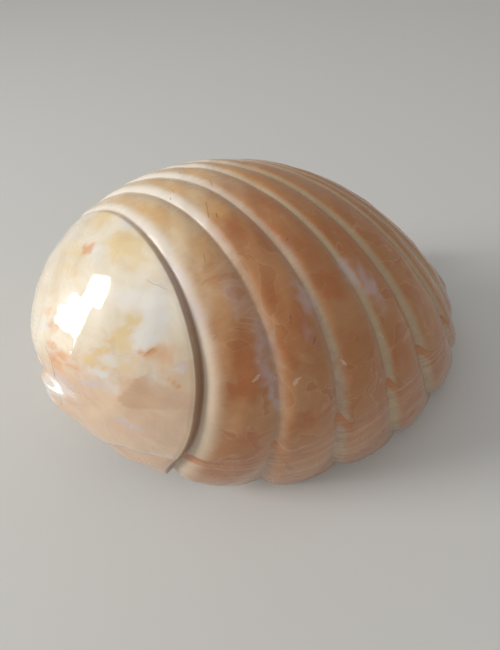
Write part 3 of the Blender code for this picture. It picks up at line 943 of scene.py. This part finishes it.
def cap_colour(s):
    """Ivory, turning to pinkish tan toward the lip."""
    fresh = s.fall(s.scaled(s.ragged, 0.16, s.turn), 0.13, 0.22)
    cap = s.mix(s.ramp(s.medium, 0.40, 0.66), *IVORY)
    tan = s.mix(s.ramp(s.medium, 0.42, 0.62), *TAN)
    cap = s.stain(cap, tan, fresh, 0.9)
    cap = s.stain(cap, CAP_LEAF, s.attribute("first"), 0.75)
    cap = s.stain(cap, CAP_NEWEST, s.newest, 0.5)
    cap = s.stain(cap, CAP_BEHIND_CHECK, s.stripe(s.check, -6.0, -2.0, -1.0, 0.0), 0.5)
    cap = s.stain(cap, CAP_MILK, s.milk, 0.8)
    cap = s.stain(cap, CAP_GOLD, s.gold, 0.7)
    return s.stain(cap, CAP_AMBER, s.amber, 0.8)


def with_bands(s, base):
    """Pale bands in the coves, broad where the ribs are old and beside the cap, and a grey tint on each
    rib's slope down to the next groove that is partly painted shade.
    """
    wide = s.math("MAXIMUM", s.old, s.times(s.attribute("first"), 0.85))
    reach = s.scaled(s.ragged, 0.10, s.scaled(wide, 0.15, 0.17))
    away = s.math("DIVIDE", s.near, reach)
    cove = s.times(s.ramp(s.side, -1.0, 0.4), s.fall(away, 0.30, 1.25))
    # the slope before each groove gets a grey that is partly painted shade
    behind = s.times(s.fall(s.side, -0.4, 0.8), s.fall(s.near, 0.02, 0.20))
    # a strip lipward of the check has hardly any
    s.broken = s.stripe(s.check, -1.2, 0.3, 3.0, 6.5)
    whole = s.math("SUBTRACT", 1.0, s.times(s.broken, 0.9))
    shown = s.times(s.fall(s.turn, *COLOURS_FADE), s.off_cap)
    shown = s.times(shown, whole)
    # the second cove is hardly paler than its ribs where it is new
    off_second = s.math("ABSOLUTE", s.math("SUBTRACT", s.at, 0.435))
    second = s.ramp(off_second, 0.03, 0.06, 0.45, 0.0)
    second = s.times(second, s.fall(s.turn, 0.16, 0.30))
    shown = s.times(shown, s.math("SUBTRACT", 1.0, second))
    band = s.mix(s.ramp(s.small, 0.40, 0.62), *BAND)
    band = s.mix(s.ramp(s.at, 0.50, 0.64, 0.0, 0.7), band, BAND_ANTERIOR)
    wide_band = s.mix(s.ramp(s.turn, 0.12, 0.28), *WIDE_BAND)
    band = s.mix(wide, band, wide_band)
    base = s.stain(base, band, s.times(cove, shown), 0.88)
    s.cove = cove
    s.shown = shown
    return s.stain(base, GREY_AND_SHADE_BEHIND, s.times(behind, shown), 0.42)


def with_step(s, base):
    """The steep wall under the cap's rim is painted brown: partly a brown stain, partly painted shade of
    that recess.
    """
    step = s.stripe(s.rim, -2.1, -1.3, 0.0, 0.9)
    step = s.times(step, s.ramp(s.turn, 0.14, 0.36, 0.72, 0.25))
    s.step = s.times(step, s.fall(s.turn, *COLOURS_FADE))
    return s.mix(s.step, base, STEP_BROWN_AND_SHADE)


def with_growth_lines(s, base):
    """Faint growth lines, clear lipward of the growth check, and the check itself."""
    clear = s.ramp(s.check, -0.5, 1.5, 0.025, 0.17)
    clear = s.times(clear, s.scaled(s.on_cap, -0.75, 1.0))
    base = s.stain(base, GROWTH_DARK, s.ramp(s.growth, 0.48, 0.60), clear)
    base = s.stain(base, GROWTH_PALE, s.fall(s.growth, 0.40, 0.50), clear)
    line = s.stripe(s.check, -0.8, -0.1, 0.2, 1.1)
    line = s.times(line, s.scaled(s.on_cap, 0.25, 0.45))
    base = s.mix(line, base, s.mix(s.on_cap, *CHECK_LINE))
    in_cove = s.times(s.broken, s.fall(s.near, 0.05, 0.22))
    return s.stain(base, BROKEN_COVE, in_cove, 0.55)


def inside_colour(s):
    """Smooth, cream to apricot, paler on the columella's folds."""
    clouds = s.ramp(s.noise(s.space, 14.0, 3.0, 0.5), 0.40, 0.65)
    within = s.mix(clouds, *WITHIN)
    return s.stain(within, FOLD_CREAM, s.attribute("gold"), 0.4)


def paint(s):
    """The layers of colour, one over another."""
    rib = rib_colour(s)
    cap = cap_colour(s)
    s.on_cap = s.fall(s.rim, -1.0, 1.0)
    s.off_cap = s.math("SUBTRACT", 1.0, s.on_cap)
    base = s.mix(s.on_cap, rib, cap)
    base = with_bands(s, base)
    # violet-grey patches: lavender tint on the cap, painted sheen along the coves
    base = s.stain(base, VIOLET_GREY_AND_SHEEN, patch(s, "violet_and_sheen"), s.scaled(s.on_cap, 0.18, 0.44))
    base = with_step(s, base)
    base = with_growth_lines(s, base)
    base = s.mix(s.ramp(s.turn, 0.0014, 0.0040, 0.8, 0.0), base, LIP_CREAM)
    base = s.stain(base, FLAW_BROWN, s.flaws, 0.6)
    base = s.mix(s.inside, base, inside_colour(s))
    s.feed(s.surface.inputs["Base Color"], base)


def polish(s):
    """A clear gloss over a satin body, most on the cap, least in the coves and under its rim."""
    sockets = s.surface.inputs
    sockets["Metallic"].default_value = 0.0
    sockets["IOR"].default_value = 1.50
    sockets["Specular IOR Level"].default_value = 0.25
    dull = s.math("MAXIMUM", s.times(s.cove, s.shown), s.step)
    gloss = s.scaled(s.off_cap, -0.4, 1.0)
    gloss = s.times(gloss, s.scaled(dull, -0.8, 1.0))
    s.feed(sockets["Coat Weight"], gloss)
    sockets["Coat Roughness"].default_value = 0.02
    sockets["Coat IOR"].default_value = 1.5
    s.feed(sockets["Roughness"], s.ramp(s.medium, 0.3, 0.7, 0.24, 0.40))
    ridges = s.times(s.growth, s.ramp(s.check, -0.5, 1.5, 0.012, 0.30))
    ridges = s.times(ridges, s.scaled(s.on_cap, -0.8, 1.0))
    relief = s.math("ADD", ridges, s.times(s.medium, 0.05))
    bump = s.node("ShaderNodeBump")
    bump.inputs["Strength"].default_value = 0.6
    bump.inputs["Distance"].default_value = 0.3 * MM
    s.feed(bump.inputs["Height"], relief)
    s.feed(sockets["Normal"], bump.outputs["Normal"])
    s.feed(sockets["Coat Normal"], bump.outputs["Normal"])


def shell_material():
    material = bpy.data.materials.new("polished_shell")
    shader = Shader(material)
    read_surface(shader)
    paint(shader)
    polish(shader)
    return material


def add_piece(name, mesh, material):
    piece = bpy.data.objects.new(name, mesh)
    bpy.context.scene.collection.objects.link(piece)
    mesh.materials.append(material)
    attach(piece, "root")
    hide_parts("shell")


# --- floor, light and camera ---
FLOOR_HALF = 12.0
FLOOR_GREY = (0.70, 0.70, 0.69, 1.0)
WORLD_TINT = (1.0, 0.985, 0.96, 1.0)
WORLD_STRENGTH = 0.36
DAYLIGHT = (1.0, 0.97, 0.92)
SKYLIGHT = (1.0, 0.98, 0.95)
CAP_PLACE = Vector((-0.075, 0.0, 0.08))  # the part of the cap that mirrors the window
# The camera: its place in UNIT, from the floor under the spiral's pole, and its three angles.
EYE = (0.135, -0.588, 0.970)
LOOKS_DOWN = 55.5
LOOKS_ASIDE = -29.94
LEANS = 0.21
LENS = 24.009232  # focal length in mm
NEAREST = 0.01


def add_floor():
    mesh = bpy.data.meshes.new("floor")
    corners = [(x * FLOOR_HALF, y * FLOOR_HALF, 0) for x, y in ((-1, -1), (1, -1), (1, 1), (-1, 1))]
    mesh.from_pydata(corners, [], [(0, 1, 2, 3)])
    floor = bpy.data.objects.new("floor", mesh)
    bpy.context.scene.collection.objects.link(floor)
    material = bpy.data.materials.new("pale_floor")
    material.use_nodes = True
    surface = material.node_tree.nodes["Principled BSDF"]
    surface.inputs["Base Color"].default_value = FLOOR_GREY
    surface.inputs["Roughness"].default_value = 0.9
    mesh.materials.append(material)


def from_cap(distance, azimuth, elevation):
    """A place round the cap: azimuth 0 is on the lip's side, -90 beyond the apex."""
    a, e = math.radians(azimuth), math.radians(elevation)
    way = Vector((math.sin(a) * math.cos(e), -math.cos(a) * math.cos(e), math.sin(e)))
    return CAP_PLACE + distance * way


def add_light(name, where, target, size, power, tint=(1.0, 1.0, 1.0), spread=180, roll=0):
    """An elliptical lamp that looks at its target, rolled about its own axis."""
    data = bpy.data.lights.new(name, "AREA")
    data.shape = "ELLIPSE"
    data.size, data.size_y = size
    data.energy = power
    data.color = tint
    data.spread = math.radians(spread)
    lamp = bpy.data.objects.new(name, data)
    bpy.context.scene.collection.objects.link(lamp)
    lamp.location = where
    aim = (Vector(target) - Vector(where)).to_track_quat("-Z", "Y").to_matrix()
    lamp.rotation_euler = (aim @ Matrix.Rotation(math.radians(roll), 3, "Z")).to_euler()


def add_lights():
    world = bpy.data.worlds.new("studio")
    bpy.context.scene.world = world
    world.use_nodes = True
    back = world.node_tree.nodes["Background"]
    back.inputs["Color"].default_value = WORLD_TINT
    back.inputs["Strength"].default_value = WORLD_STRENGTH
    add_light("window", from_cap(1.4, -116, 20), CAP_PLACE, size=(0.50, 0.90), power=1.90,
              tint=DAYLIGHT, spread=60, roll=25)
    add_light("low_window", from_cap(1.4, -114, -4), CAP_PLACE, size=(0.46, 0.58), power=0.65,
              tint=DAYLIGHT, spread=60)
    add_light("low_front", from_cap(1.1, 0, 9), (0.0, -0.03, 0.07), size=(0.35, 0.06), power=0.15)
    add_light("sky", (-0.7, 0.3, 1.2), (0.0, 0.0, 0.05), size=(1.2, 1.2), power=3.0, tint=SKYLIGHT)


def add_camera():
    """Close above the lip's side, as the shell is seen by someone who holds the camera."""
    data = bpy.data.cameras.new("camera")
    data.lens = LENS
    data.clip_start = NEAREST
    camera = bpy.data.objects.new("camera", data)
    bpy.context.scene.collection.objects.link(camera)
    eye = Vector((EYE[0] * UNIT - ORIGIN[0], EYE[1] * UNIT - ORIGIN[1], EYE[2] * UNIT))
    view = Matrix.Translation(eye)
    for angle, axis in ((LOOKS_ASIDE, "Z"), (90.0 - LOOKS_DOWN, "X"), (LEANS, "Z")):
        view @= Matrix.Rotation(math.radians(angle), 4, axis)
    camera.matrix_world = view
    bpy.context.scene.camera = camera


polished = shell_material()
add_piece("shell_wall", build_wall(), polished)
add_piece("columella", build_pillar(), polished)
add_floor()
add_lights()
add_camera()
bpy.context.scene.view_settings.view_transform = "Standard"
